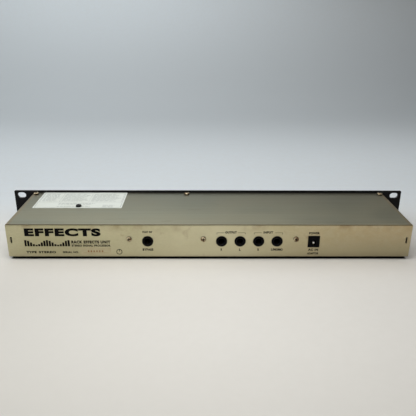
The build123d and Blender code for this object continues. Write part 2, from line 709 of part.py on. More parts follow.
def display_lens():
    """Smoked window set in the panel, with a rim behind it."""
    window_x = (DISPLAY_X[0] + DISPLAY_GAP, DISPLAY_X[1] - DISPLAY_GAP)
    window_z = (DISPLAY_Z[0] + DISPLAY_GAP, DISPLAY_Z[1] - DISPLAY_GAP)
    window = block(window_x, (-PANEL_THICKNESS + 0.3, 0), window_z)
    rim_x = (DISPLAY_X[0] - DISPLAY_RIM, DISPLAY_X[1] + DISPLAY_RIM)
    rim_z = (DISPLAY_Z[0] - DISPLAY_RIM, DISPLAY_Z[1] + DISPLAY_RIM)
    return window + block(rim_x, (0, FLANGE_REAR - 0.1), rim_z)


def display_module():
    """Two-digit numeric display on the front board."""
    module_x = (DISPLAY_X[0] - 1, DISPLAY_X[1] + 1)
    module_z = (DISPLAY_Z[0] - 1, DISPLAY_Z[1] + 1)
    return block(module_x, (DISPLAY_MODULE_Y, FRONT_BOARD_Y), module_z)


def indicator_leds():
    """Round indicator lamps through the panel, each with two legs to the front board."""
    lamps = []
    for x, z in LED_SPOTS:
        bulb = bar_y(x, z, (LED_FRONT, LED_FLANGE_Y[0]), LED_RADIUS)
        bulb = fillet(bulb.edges().sort_by(Axis.Y)[0], LED_RADIUS * 0.8)
        flange = bar_y(x, z, LED_FLANGE_Y, LED_RADIUS + 0.4)
        leg = block(around(x, 0.25), (LED_FLANGE_Y[1], FRONT_BOARD_Y), around(z, 0.25))
        lamps.append(bulb + flange + [Pos(side, 0, 0) * leg for side in (-1, 1)])
    return group(lamps)


def cable_headers():
    """Plug sockets for the ribbon cable, one on each board."""
    return group([block(*FRONT_HEADER), block(*MAIN_HEADER)])


def ribbon_cable():
    """Flat cable between the two headers."""
    start_z = sum(FRONT_HEADER[2]) / 2
    end_y = sum(MAIN_HEADER[1]) / 2
    path = (
        (FRONT_HEADER[1][1], start_z),
        (CABLE_TURN_Y, start_z),
        (CABLE_TURN_Y, CABLE_HIGH),
        (end_y, CABLE_HIGH),
        (end_y, MAIN_HEADER[2][1]),
    )
    return bent_sheet(Plane.YZ, path, CABLE_WIDTH, CABLE_THICKNESS)


def chip(x, y, width, depth, height):
    """Moulded chip with a row of leads along its two long sides."""
    body_z = (MAIN_BOARD_TOP + 0.4, MAIN_BOARD_TOP + height)
    body = block(around(x, width / 2), around(y, depth / 2), body_z)
    count = int(width // LEAD_PITCH)
    first = x - (count - 1) / 2 * LEAD_PITCH
    lead = block(around(first, 0.3), around(y, depth / 2 + 1), (MAIN_BOARD_TOP, MAIN_BOARD_TOP + 0.8))
    return body + [Pos(i * LEAD_PITCH, 0, 0) * lead for i in range(count)]


def integrated_circuits():
    """Signal processor, memory, converters and op-amps on the main board."""
    return group([chip(*place_and_size) for place_and_size in CHIPS])


def electrolytic_capacitors():
    """Upright capacitors, each with a crimp ring near its lower end."""
    capacitors = []
    for x, y, radius, height in CAPACITORS:
        can = bar_z(x, y, (MAIN_BOARD_TOP, MAIN_BOARD_TOP + height), radius)
        can = fillet(can.edges().sort_by(Axis.Z)[-1], 0.6)
        crimp = Pos(x, y, MAIN_BOARD_TOP + 2.5) * Torus(radius + 0.1, 0.4)
        capacitors.append(can - crimp)
    return group(capacitors)


def heat_sink():
    """Finned plate that the voltage regulator is bolted to."""
    height = (MAIN_BOARD_TOP, SINK_TOP)
    fin_y = (SINK_Y[0] - SINK_FIN_DEPTH, SINK_Y[0])
    pitch = (SINK_X[1] - SINK_X[0] - SHEET) / (SINK_FINS - 1)
    fin = block((SINK_X[0], SINK_X[0] + SHEET), fin_y, height)
    return block(SINK_X, SINK_Y, height) + [Pos(pitch * i, 0, 0) * fin for i in range(SINK_FINS)]


def voltage_regulator():
    """Three-leg power regulator with its metal tab against the heat sink."""
    middle = sum(SINK_X) / 2
    face = SINK_Y[1]
    width = around(middle, REGULATOR_HALF_WIDTH)
    tab = block(width, (face, face + REGULATOR_TAB), (REGULATOR_Z[0], REGULATOR_TAB_TOP))
    body = block(width, (face + REGULATOR_TAB, face + REGULATOR_DEPTH), REGULATOR_Z)
    leg = block(around(middle, 0.4), around(face + 2.3, 0.3), (MAIN_BOARD_TOP, REGULATOR_Z[0]))
    return tab + body + [Pos(LEAD_PITCH * i, 0, 0) * leg for i in (-1, 0, 1)]


def all_pieces():
    """Every node's name with its shape."""
    inlet_contact = Pos(INLET_X, 0, 0) * contact_strip(INLET_PATH, INLET_CONTACT_HALF_WIDTH)
    pieces = {
        "front_panel": front_panel(),
        "panel_screws": panel_screws(),
        "chassis_tray": chassis_tray(),
        "top_cover": top_cover(),
        "cover_screws": cover_screws(),
        "cover_label": cover_label(),
        "label_screw": label_screw(),
        "cover_post": cover_post(),
        "serial_sticker": serial_sticker(),
        "rear_screws": rear_screws(),
        "board_brackets": board_brackets(),
        "rubber_feet": rubber_feet(),
        "main_board": main_board(),
        "board_standoffs": board_standoffs(),
        "board_screws": board_screws(),
        "power_inlet": power_inlet(),
        "power_inlet_pin": power_inlet_pin(),
        "power_inlet_contact": inlet_contact,
        "front_board": front_board(),
        "pot_bodies": pot_bodies(),
        "encoder_body": encoder_body(),
        "encoder_shaft": shaft(DIAL_X),
        "program_dial": program_dial(),
        "tact_switches": tact_switches(),
        "power_button": power_button(),
        "power_switch_body": power_switch_body(),
        "display_lens": display_lens(),
        "display_module": display_module(),
        "indicator_leds": indicator_leds(),
        "cable_headers": cable_headers(),
        "ribbon_cable": ribbon_cable(),
        "integrated_circuits": integrated_circuits(),
        "electrolytic_capacitors": electrolytic_capacitors(),
        "heat_sink": heat_sink(),
        "voltage_regulator": voltage_regulator(),
    }
    jack = jack_housing()
    tip_contact = contact_strip(TIP_PATH, CONTACT_HALF_WIDTH)
    sleeve_contact = sleeve_sector(0)
    for name, x in JACKS.items():
        pieces[name] = Pos(x, 0, 0) * jack
        pieces[name.replace("jack", "tip_contact")] = Pos(x, 0, 0) * tip_contact
    pieces["jack_sleeve_contacts"] = group([Pos(x, 0, 0) * sleeve_contact for x in JACKS.values()])
    knob_form = small_knob()
    for name, x in KNOBS.items():
        pieces[name + "_knob"] = placed_knob(knob_form, x)
        pieces[name + "_shaft"] = shaft(x)
    for name, (x, z) in BUTTONS.items():
        pieces[name] = button(x, z)
    return pieces


os.makedirs("parts", exist_ok=True)
for node, shape in all_pieces().items():
    export_step(shape, f"parts/{node}.step")
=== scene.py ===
"""Looks of the rack effects unit: materials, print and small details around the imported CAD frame.

The scene is in metres in the frame's own axes: +X right seen from the front, +Y to the rear, +Z up.
Places come from the frame's boxes; MM turns sizes given in millimetres into metres.
"""

import json
import math
import random

import bmesh
import bpy
from mathutils import Matrix, Vector

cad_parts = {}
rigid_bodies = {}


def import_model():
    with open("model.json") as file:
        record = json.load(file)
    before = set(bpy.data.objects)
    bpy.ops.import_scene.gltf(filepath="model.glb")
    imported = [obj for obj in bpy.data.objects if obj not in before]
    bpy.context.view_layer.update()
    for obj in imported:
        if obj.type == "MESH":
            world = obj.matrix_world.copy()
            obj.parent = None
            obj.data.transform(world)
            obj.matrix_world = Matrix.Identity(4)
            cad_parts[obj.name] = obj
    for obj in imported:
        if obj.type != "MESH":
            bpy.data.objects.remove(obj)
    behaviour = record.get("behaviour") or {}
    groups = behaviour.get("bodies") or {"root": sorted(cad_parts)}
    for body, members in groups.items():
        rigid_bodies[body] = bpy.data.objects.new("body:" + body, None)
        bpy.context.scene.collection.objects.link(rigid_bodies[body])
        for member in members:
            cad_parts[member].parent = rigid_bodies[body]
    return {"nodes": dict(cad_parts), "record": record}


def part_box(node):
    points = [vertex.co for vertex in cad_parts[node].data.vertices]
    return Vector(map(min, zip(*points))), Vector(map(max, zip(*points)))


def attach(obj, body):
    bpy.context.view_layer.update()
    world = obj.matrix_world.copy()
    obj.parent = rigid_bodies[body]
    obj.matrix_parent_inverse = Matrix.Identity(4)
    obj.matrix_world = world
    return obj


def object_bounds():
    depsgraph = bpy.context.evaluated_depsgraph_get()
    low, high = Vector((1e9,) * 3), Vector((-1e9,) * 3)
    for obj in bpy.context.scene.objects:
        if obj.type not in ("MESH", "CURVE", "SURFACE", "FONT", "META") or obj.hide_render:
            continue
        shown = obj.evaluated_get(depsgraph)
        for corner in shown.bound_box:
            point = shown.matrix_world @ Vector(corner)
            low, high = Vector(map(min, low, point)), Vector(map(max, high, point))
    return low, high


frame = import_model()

CAD_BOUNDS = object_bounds()
MM = 0.001

COVER_LOW, COVER_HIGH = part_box("top_cover")
TRAY_LOW, TRAY_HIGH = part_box("chassis_tray")
PANEL_LOW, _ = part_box("front_panel")
LABEL_LOW, LABEL_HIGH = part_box("cover_label")
STICKER_LOW, STICKER_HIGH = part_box("serial_sticker")
LENS_LOW, LENS_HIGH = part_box("display_lens")
MODULE_LOW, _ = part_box("display_module")
FLOOR_Z = CAD_BOUNDS[0][2]
REAR_LEFT = TRAY_HIGH[0] / MM  # left end of the rear wall as a reader behind it sees it

JACK_NODES = (
    "bypass_jack",
    "output_jack_right",
    "output_jack_left",
    "input_jack_right",
    "input_jack_left",
)
KNOBS = ("input_level", "edit_one", "edit_two", "mix", "output_level")
BUTTON_NODES = ("bank_button", "store_button", "tap_button", "bypass_button")
FRONT_PREFIXES = (
    *KNOBS,
    *BUTTON_NODES,
    "front_panel",
    "front_print",
    "panel_screws",
    "program_dial",
    "power_button",
    "display_",
    "indicator_leds",
)

# Print. Sizes are millimetres, and heights are from the unit's mid-height. A weight is how much the
# strokes are thickened, as a share of the letters' size. A width share is the width given to a letter,
# as a share of its height.
INK_THICKNESS = 0.04
WELD = 1e-5  # points of a print closer than this become one
CAPITAL_HEIGHT = 0.7  # of the font, at size 1
SPREAD_PER_WEIGHT = 2.5  # how much wider the gaps between letters get with weight
COPIES = 3  # times that words with an M are drawn

REAR_LINES = (  # words, near and far ends from the wall's left end, foot and head, weight
    ("EFFECTS", 19.5, 100.5, 5.8, 15.0, 0.065),
    ("RACK EFFECTS UNIT", 68.5, 110.2, -2.7, 0.8, 0.06),
    ("STEREO SIGNAL PROCESSOR", 68.5, 110.2, -6.4, -3.9, 0.05),
    ("TYPE", 19.2, 30.2, -14.3, -11.6, 0.06),
    ("STEREO", 32.5, 50.9, -14.3, -11.6, 0.055),
    ("SERIAL NO.", 58.2, 75.6, -14.2, -11.8, 0.045),
)
LEVEL_BARS = (18.0, 67.0, -6.0, 1.3)  # near end, far end, foot, head
LEVEL_BAR_COUNT = 17
KNOB_MARK = (119.3, -12.5)  # from the wall's left end, height
KNOB_MARK_RADIUS = 3.2
KNOB_MARK_LINE = 0.7

BELOW_SOCKETS = (-11.3, 2.9)  # foot and height of the names under the jacks
ABOVE_SOCKETS = (9.1, 2.7)
FOOT_SWITCH_NAME = (9.6, 2.4)
INLET_NAMES = (  # words, foot, height, width share, weight
    ("POWER", 8.1, 2.8, 0.82, 0.055),
    ("AC IN", -11.3, 2.7, 0.82, 0.055),
    ("ADAPTOR", -15.7, 2.5, 0.7, 0.055),
)
SOCKET_NAMES = (  # words, jack, width share
    ("BYPASS", "bypass_jack", 0.66),
    ("R", "output_jack_right", 0.6),
    ("L", "output_jack_left", 0.6),
    ("R", "input_jack_right", 0.6),
    ("L/MONO", "input_jack_left", 0.7),
)
SOCKET_WEIGHT = 0.055
PAIR_WIDTH_SHARE, PAIR_WEIGHT = 0.76, 0.06
BRACKET_HEIGHT = 9.9
BRACKET_GAP = 14.5
BRACKET_OVERHANG = (5.2, 5.6)  # past the right-hand and the left-hand jack of a pair

FRONT_WIDTH_SHARE, FRONT_WEIGHT = 0.75, 0.02
NARROW_WIDTH_SHARE = 0.72
KNOB_NAME = (-18.0, 2.3)  # foot, height
KNOB_TICKS = (10.2, 1.4, 11)  # inner radius, length, count
DIAL_NAME = (-20.6, 2.2)
DIAL_TICKS = (16.2, 1.2, 31)
BUTTON_NAME_DROP, BUTTON_NAME_HEIGHT = 6.4, 2.0
POWER_NAME = (-9.6, 2.2)
LAMP_NAMES = (("PEAK", 9), ("-6", 1), ("-12", -7))  # name, height of its lamp
LAMP_RADIUS = 1.9
LAMP_NAME_SHIFT, LAMP_NAME_HEIGHT, LAMP_NAME_WEIGHT = 6.4, 1.8, 0.01
HEADING_LOW, HEADING_HIGH, HEADING_INSET, HEADING_WEIGHT = 13.4, 16.4, 1.5, 0.04
KNOB_SWEEP = 300  # degrees

LIGHT_AIM = (0, -0.1, 0)
LIGHTS = (  # name, place, aim and side in metres, power in watts, colour
    ("key_light", (1.5, 0.3, 0.9), LIGHT_AIM, 0.9, 9.0, (0.97, 1.0, 1.0)),
    ("back_light", (0.3, -0.6, 1.2), LIGHT_AIM, 0.9, 3.8, (0.96, 0.99, 1.0)),
    ("back_fill", (-0.3, -0.4, 0.9), LIGHT_AIM, 0.9, 1.1, (1.0, 0.98, 0.95)),
    ("top_fill", (-0.3, 0.3, 0.9), LIGHT_AIM, 0.9, 2.2, (1.0, 0.97, 0.93)),
    ("near_light", (0.1, 0.28, 0.42), LIGHT_AIM, 0.35, 1.2, (1.0, 0.98, 0.95)),
    ("backdrop_light", (0.45, -0.7, 0.75), (0.35, -1.25, 0.3), 0.6, 1.1, (0.97, 1.0, 1.0)),
)
FRONT_LIGHT = ("front_light", (0.5, -0.9, 0.7), (0, 0, 0), 0.8, 9.0, (1.0, 0.99, 0.97))
SURROUND_COLOUR = (1.0, 0.98, 0.96, 1)
SURROUND_GLOW, SURROUND_SEEN = 0.09, 0.58  # its strength as light, and where it is seen directly

CAMERA_PLACE = (8.85, 596.4, 231.3)  # millimetres
CAMERA_YAW, CAMERA_PITCH, CAMERA_ROLL = -0.777, 21.29, 0.354  # degrees
CAMERA_SENSOR, CAMERA_LENS = 36.0, 43.87


def middle(node):
    """Centre of a CAD node's box."""
    low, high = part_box(node)
    return (low + high) / 2


# ---------------------------------------------------------------- colours and node trees


def srgb(red, green, blue):
    """Linear colour from display values between 0 and 255."""
    parts = []
    for value in (red, green, blue):
        share = value / 255
        parts.append(share / 12.92 if share <= 0.04045 else ((share + 0.055) / 1.055) ** 2.4)
    return (*parts, 1.0)


class Nodes:
    """One material's node tree. Patterns are placed in metres, in the frame's axes."""

    def __init__(self, name):
        self.material = bpy.data.materials.new(name)
        self.material.use_nodes = True
        self.tree = self.material.node_tree
        self.shader = self.tree.nodes["Principled BSDF"]
        self.place = self.tree.nodes.new("ShaderNodeTexCoord").outputs["Object"]
        self.axes = self.tree.nodes.new("ShaderNodeSeparateXYZ")
        self.link(self.place, self.axes.inputs[0])

    def link(self, value, socket):
        """Feed a socket from another node's output, or set it to a plain value."""
        if isinstance(value, bpy.types.NodeSocket):
            self.tree.links.new(value, socket)
        else:
            socket.default_value = value

    def surface(self, **values):
        """Set the main shader's inputs; base_color stands for "Base Color", and so on."""
        for name, value in values.items():
            label = name.replace("_", " ").title().replace("Ior", "IOR")
            self.link(value, self.shader.inputs[label])
        return self.material

    def math(self, operation, first, second=0.0):
        """Arithmetic on two values."""
        node = self.tree.nodes.new("ShaderNodeMath")
        node.operation = operation
        self.link(first, node.inputs[0])
        self.link(second, node.inputs[1])
        return node.outputs[0]

    def noise(self, per_metre, detail=3.0, stretch=(1, 1, 1), shift=0.0):
        """Cloudy pattern, per_metre patches to the metre; a smaller stretch value draws it out."""
        mapping = self.tree.nodes.new("ShaderNodeMapping")
        mapping.inputs["Location"].default_value = (shift, shift, shift)
        mapping.inputs["Scale"].default_value = stretch
        self.link(self.place, mapping.inputs["Vector"])
        node = self.tree.nodes.new("ShaderNodeTexNoise")
        node.inputs["Scale"].default_value = per_metre
        node.inputs["Detail"].default_value = detail
        self.link(mapping.outputs[0], node.inputs["Vector"])
        return node.outputs["Fac"]

    def ramp(self, value, low, high, start=0.0, end=1.0):
        """Smooth step of value from start at low to end at high."""
        node = self.tree.nodes.new("ShaderNodeMapRange")
        node.interpolation_type = "SMOOTHSTEP"
        settings = {"From Min": low, "From Max": high, "To Min": start, "To Max": end}
        for name, setting in settings.items():
            node.inputs[name].default_value = setting
        self.link(value, node.inputs["Value"])
        return node.outputs[0]

    def blend(self, share, first, second, mode="MIX"):
        """Mix of two colours."""
        node = self.tree.nodes.new("ShaderNodeMix")
        node.data_type = "RGBA"
        node.blend_type = mode
        self.link(share, node.inputs[0])
        self.link(first, node.inputs[6])
        self.link(second, node.inputs[7])
        return node.outputs[2]

    def bump(self, height, depth, strength=1.0):
        """Bump the surface by height times depth metres."""
        node = self.tree.nodes.new("ShaderNodeBump")
        node.inputs["Strength"].default_value = strength
        node.inputs["Distance"].default_value = depth
        self.link(height, node.inputs["Height"])
        self.link(node.outputs[0], self.shader.inputs["Normal"])

    def cavities(self, distance, clear=0.85, dark=0.35):
        """Mask that is 1 deep in recesses and corners and 0 in the open."""
        node = self.tree.nodes.new("ShaderNodeAmbientOcclusion")
        node.samples = 8
        node.inputs["Distance"].default_value = distance
        return self.ramp(node.outputs["AO"], clear, dark)

    def edges(self, radius):
        """Mask that is 1 on sharp edges and 0 on flat faces."""
        bevel = self.tree.nodes.new("ShaderNodeBevel")
        bevel.samples = 4
        bevel.inputs["Radius"].default_value = radius
        geometry = self.tree.nodes.new("ShaderNodeNewGeometry")
        compare = self.tree.nodes.new("ShaderNodeVectorMath")
        compare.operation = "DOT_PRODUCT"
        self.link(bevel.outputs[0], compare.inputs[0])
        self.link(geometry.outputs["Normal"], compare.inputs[1])
        return self.ramp(compare.outputs["Value"], 0.99, 0.8)


# ---------------------------------------------------------------- materials


def panel_paint():
    """Fine-textured satin black powder coat, worn to grey along its edges."""
    make = Nodes("panel_paint")
    patches = make.noise(60, 4)
    colour = make.blend(make.ramp(patches, 0.3, 0.7), srgb(8, 8, 10), srgb(13, 13, 15))
    worn = make.math("MULTIPLY", make.edges(0.4 * MM), make.ramp(make.noise(400, 3), 0.5, 0.62))
    colour = make.blend(worn, colour, srgb(84, 82, 79))
    make.bump(make.noise(2600, 2), 0.03 * MM)
    rough = make.ramp(patches, 0.3, 0.7, 0.36, 0.5)
    return make.surface(base_color=colour, roughness=rough, specular_ior_level=0.14)


def tray_steel():
    """Pale gold passivated sheet steel: blotchy, stained near the upper edge, warmer towards one end,
    with a painted reflection mid-wall and painted shade lower down.
    """
    make = Nodes("tray_steel")
    mottle = make.noise(150, 5, shift=3.0)
    grain = make.noise(900, 3, (0.5, 1, 1.5))
    colour = passivated_gold_and_sheen(make, mottle, grain)
    colour = wall_stains(make, colour)
    colour = wall_painted_shade(make, colour)
    make.bump(grain, 0.02 * MM, 0.4)
    rough = make.ramp(mottle, 0.3, 0.7, 0.4, 0.52)
    return make.surface(base_color=colour, metallic=0.75, roughness=rough)


def passivated_gold_and_sheen(make, mottle, grain):
    """The tray's colour: pale gold clouds, warmer to the reader's right, and brightest mid-wall from a
    painted reflection of the bright floor.
    """
    across = make.axes.outputs["X"]
    clouds = make.noise(13, 4, (1, 1, 1.8))
    colour = make.blend(make.ramp(clouds, 0.32, 0.68), srgb(214, 209, 173), srgb(196, 190, 151))
    warm_end = make.ramp(across, 0.02, -0.2, 0.0, 0.75)
    colour = make.blend(warm_end, colour, srgb(206, 182, 142))
    colour = make.blend(make.ramp(mottle, 0.35, 0.75, 0.0, 0.4), colour, srgb(222, 214, 182))
    colour = make.blend(make.ramp(grain, 0.3, 0.8, 0.0, 0.2), colour, srgb(168, 156, 122))
    # Painted reflection: the middle of the wall is lightened as if it mirrored the bright floor.
    centre = make.ramp(make.math("ABSOLUTE", across), 0.09, 0.02, 0.0, 0.4)
    return make.blend(centre, colour, srgb(240, 234, 204))


def wall_stains(make, colour):
    """Brown patches under the wall's upper edge and small brown specks all over."""
    upper = make.ramp(make.axes.outputs["Z"], TRAY_HIGH[2] - 10 * MM, TRAY_HIGH[2])
    patches = make.ramp(make.noise(42, 4, (1, 1, 0.6), 7.0), 0.5, 0.7)
    stain = make.math("MULTIPLY", make.math("MULTIPLY", upper, patches), 0.5)
    colour = make.blend(stain, colour, srgb(142, 108, 74))
    specks = make.ramp(make.noise(60, 5, shift=11.0), 0.64, 0.76, 0.0, 0.35)
    return make.blend(specks, colour, srgb(150, 120, 84))


def wall_painted_shade(make, colour):
    """Painted shade: darker down the wall, most at its warm end, darker again along its foot, and dark on
    the underside below its bend.
    """
    across, _, height = make.axes.outputs
    down = make.ramp(height, TRAY_HIGH[2], TRAY_LOW[2])
    # Painted shade, growing down the wall and towards its warm end.
    shade_down_wall = make.math("MULTIPLY", down, make.ramp(across, -0.02, -0.2, 0.32, 0.85))
    colour = make.blend(shade_down_wall, colour, srgb(165, 157, 128))
    # Painted shade along the wall's foot.
    foot = make.ramp(height, TRAY_LOW[2] + 9 * MM, TRAY_LOW[2])
    worn = make.math("MULTIPLY", foot, make.ramp(across, 0.05, -0.2, 0.1, 0.3))
    colour = make.blend(worn, colour, srgb(126, 116, 92))
    # Painted shade on the underside below the bend.
    under = make.ramp(height, TRAY_LOW[2] + 0.5 * MM, TRAY_LOW[2] + 0.1 * MM, 0.0, 0.8)
    return make.blend(under, colour, srgb(58, 54, 44))


def cover_steel():
    """Dull rolled sheet steel: faint streaks, cloudy stains, brown along its bends and rear cut edge."""
    make = Nodes("cover_steel")
    streaks = make.noise(60, 4, (0.06, 9.0, 9.0))
    clouds = make.noise(16, 4, (1, 1.6, 1), 2.0)
    scuffs = make.ramp(make.noise(90, 5, (0.35, 2.0, 1), 9.0), 0.66, 0.74, 0.0, 0.22)
    colour = make.blend(make.ramp(streaks, 0.25, 0.75), srgb(160, 157, 135), srgb(171, 168, 145))
    colour = make.blend(make.ramp(clouds, 0.32, 0.68, 0.0, 0.4), colour, srgb(177, 169, 144))
    colour = make.blend(scuffs, colour, srgb(120, 112, 92))
    colour = cover_front_shade(make, colour)
    colour = cover_bends(make, colour)
    colour = cover_rear_edge(make, colour)
    make.bump(streaks, 0.02 * MM, 0.2)
    rough = make.ramp(clouds, 0.3, 0.7, 0.35, 0.42)
    return make.surface(base_color=colour, metallic=0.95, roughness=rough)


def cover_front_shade(make, colour):
    """Darker towards the front, and painted shade beside the panel."""
    along = make.axes.outputs["Y"]
    front = make.ramp(along, COVER_HIGH[1], COVER_LOW[1], 0.0, 0.45)
    colour = make.blend(front, colour, srgb(112, 110, 95))
    # Painted shade: a dark band beside the black panel, standing in for its shadow and reflection.
    panel_shade = make.ramp(along, COVER_LOW[1] + 16 * MM, COVER_LOW[1], 0.0, 0.7)
    return make.blend(panel_shade, colour, srgb(66, 64, 54))


def cover_bends(make, colour):
    """Browned metal along the bends at both sides."""
    across, _, height = make.axes.outputs
    from_middle = make.math("ABSOLUTE", across)
    bend = make.ramp(from_middle, COVER_HIGH[0] - 5.5 * MM, COVER_HIGH[0] - 3.5 * MM, 0.0, 0.4)
    near_top = make.ramp(height, COVER_HIGH[2] - 6 * MM, COVER_HIGH[2] - 2 * MM)
    return make.blend(make.math("MULTIPLY", bend, near_top), colour, srgb(176, 150, 112))


def cover_rear_edge(make, colour):
    """Brown raw edge over the rear wall, and painted shade on the tabs inside the wall's end slots."""
    _, along, height = make.axes.outputs
    ragged = make.math("MULTIPLY", make.noise(160, 3), 0.9 * MM)
    along_ragged = make.math("ADD", along, ragged)
    rear = make.ramp(along_ragged, COVER_HIGH[1] - 0.1 * MM, COVER_HIGH[1] + 0.4 * MM)
    under = make.ramp(height, COVER_HIGH[2] - 0.35 * MM, COVER_HIGH[2] - 0.7 * MM)
    colour = make.blend(make.math("MULTIPLY", rear, under), colour, srgb(70, 52, 34))
    # Painted shade on the tabs inside the wall's end slots.
    slot_shade_reach = make.ramp(along, TRAY_HIGH[1] - 5 * MM, TRAY_HIGH[1] - 4 * MM)
    below_top = make.ramp(height, COVER_HIGH[2] - 6 * MM, COVER_HIGH[2] - 8 * MM, 0.0, 0.85)
    return make.blend(make.math("MULTIPLY", slot_shade_reach, below_top), colour, srgb(40, 36, 28))


def bright_screw():
    """Nickelled screw gone brown: tarnished all over, and painted shade that makes it black in and round
    its recess.
    """
    make = Nodes("bright_screw")
    tarnish = make.noise(420, 4)
    # Painted shade: ambient occlusion turns the recess and its surround near black.
    recess_shade = make.cavities(2.0 * MM, 0.98, 0.78)
    colour = make.blend(make.ramp(tarnish, 0.38, 0.62), srgb(214, 200, 168), srgb(112, 82, 54))
    colour = make.blend(recess_shade, colour, srgb(14, 9, 6))
    metallic = make.ramp(recess_shade, 0.0, 1.0, 0.9, 0.0)
    rough = make.ramp(tarnish, 0.3, 0.7, 0.25, 0.5)
    return make.surface(
        base_color=colour,
        metallic=metallic,
        roughness=rough,
        specular_ior_level=0.1,
    )


def inlet_pin():
    """Clean nickel on the power inlet's pin, made near white and barely metallic as a painted highlight
    that keeps it bright in the inlet's shade.
    """
    make = Nodes("inlet_pin")
    haze = make.noise(900, 3)
    # Painted highlight: a near-white, mostly matte colour stands in for the pin's glint.
    colour = make.blend(make.ramp(haze, 0.3, 0.7), srgb(250, 248, 240), srgb(232, 228, 216))
    rough = make.ramp(haze, 0.3, 0.7, 0.35, 0.5)
    return make.surface(base_color=colour, metallic=0.2, roughness=rough)


def black_screw():
    """Black oxide screw, rubbed bright on the rims of its recess."""
    make = Nodes("black_screw")
    colour = make.blend(make.edges(0.25 * MM), srgb(26, 25, 24), srgb(96, 92, 86))
    rough = make.ramp(make.noise(900), 0.3, 0.7, 0.28, 0.42)
    return make.surface(base_color=colour, metallic=0.7, roughness=rough)


def label_paper():
    """White label stock, faintly grey-green, with cloudy greyer patches."""
    make = Nodes("label_paper")
    fibre = make.noise(1500, 3)
    cloud = make.noise(40, 3)
    colour = make.blend(make.ramp(fibre, 0.3, 0.7), srgb(224, 229, 223), srgb(216, 221, 214))
    colour = make.blend(make.ramp(cloud, 0.4, 0.75, 0.0, 0.5), colour, srgb(208, 211, 200))
    make.bump(fibre, 0.01 * MM, 0.4)
    return make.surface(base_color=colour, roughness=0.55)


def sticker_paper():
    """Pale yellowed sticker, close to the metal's own colour."""
    make = Nodes("sticker_paper")
    cloud = make.noise(120, 4)
    colour = make.blend(make.ramp(cloud, 0.3, 0.7), srgb(192, 182, 147), srgb(184, 172, 137))
    return make.surface(base_color=colour, roughness=make.ramp(cloud, 0.3, 0.7, 0.45, 0.6))


def moulded_plastic(name, dark, light, rough, shine=0.35):
    """Moulded plastic with a fine spark-eroded grain and slightly rubbed edges."""
    make = Nodes(name)
    grain = make.noise(3200, 2)
    handled = make.noise(150, 3)
    colour = make.blend(make.ramp(handled, 0.3, 0.7), dark, light)
    colour = make.blend(make.math("MULTIPLY", make.edges(0.3 * MM), 0.2), colour, srgb(96, 96, 96))
    make.bump(grain, 0.015 * MM, 0.6)
    rough = make.ramp(handled, 0.3, 0.7, rough - 0.07, rough + 0.07)
    return make.surface(base_color=colour, roughness=rough, specular_ior_level=shine)


def rubber():
    """Black rubber with dust held in its pores."""
    make = Nodes("rubber")
    dust = make.ramp(make.noise(1800, 4), 0.55, 0.75, 0.0, 0.4)
    colour = make.blend(dust, srgb(24, 24, 24), srgb(92, 90, 84))
    make.bump(make.noise(2400, 2), 0.04 * MM)
    return make.surface(base_color=colour, roughness=0.85)


def plated_metal(name, light, dark, rough):
    """Plated metal with fine cloudy tarnish."""
    make = Nodes(name)
    cloud = make.noise(500, 4)
    colour = make.blend(make.ramp(cloud, 0.35, 0.75), light, dark)
    rough = make.ramp(cloud, 0.3, 0.7, rough - 0.06, rough + 0.08)
    return make.surface(base_color=colour, metallic=1.0, roughness=rough)


def circuit_board():
    """Green solder mask over a maze of copper tracks."""
    make = Nodes("circuit_board")
    tracks = make.tree.nodes.new("ShaderNodeTexBrick")
    tracks.inputs["Scale"].default_value = 220
    tracks.inputs["Mortar Size"].default_value = 0.05
    tracks.inputs["Color1"].default_value = srgb(22, 84, 46)
    tracks.inputs["Color2"].default_value = srgb(18, 70, 40)
    tracks.inputs["Mortar"].default_value = srgb(52, 122, 66)
    make.link(make.place, tracks.inputs["Vector"])
    rough = make.ramp(make.noise(300), 0.3, 0.7, 0.25, 0.4)
    return make.surface(base_color=tracks.outputs["Color"], roughness=rough)


def smoked_lens():
    """Smoked red acrylic window."""
    make = Nodes("smoked_lens")
    haze = make.noise(400, 3)
    colour = make.blend(make.ramp(haze, 0.3, 0.7), srgb(176, 44, 42), srgb(166, 38, 40))
    rough = make.ramp(haze, 0.3, 0.7, 0.03, 0.08)
    return make.surface(base_color=colour, roughness=rough, transmission_weight=0.92, ior=1.49)


def display_face():
    """Dark face of the numeric display."""
    make = Nodes("display_face")
    colour = make.blend(make.ramp(make.noise(500), 0.3, 0.7), srgb(46, 40, 40), srgb(38, 34, 34))
    return make.surface(base_color=colour, roughness=0.4)


def unlit_segment():
    """Diffused segment of the display that isn't lit."""
    make = Nodes("unlit_segment")
    colour = make.blend(make.ramp(make.noise(900), 0.3, 0.7), srgb(196, 188, 182), srgb(176, 168, 162))
    return make.surface(base_color=colour, roughness=0.5)


def lamp_resin():
    """Tinted lamp resin: green for the two lower level lamps, red for all the others."""
    make = Nodes("lamp_resin")
    level_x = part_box("indicator_leds")[0][0]
    is_level = make.ramp(make.axes.outputs["X"], level_x + 8 * MM, level_x + 6 * MM)
    is_low = make.ramp(make.axes.outputs["Z"], 6 * MM, 4 * MM)
    green = make.math("MULTIPLY", is_level, is_low)
    colour = make.blend(green, srgb(196, 40, 34), srgb(70, 168, 66))
    colour = make.blend(make.ramp(make.noise(900), 0.35, 0.7, 0.0, 0.2), colour, srgb(240, 220, 210))
    return make.surface(base_color=colour, roughness=0.18, transmission_weight=0.35, coat_weight=0.5)


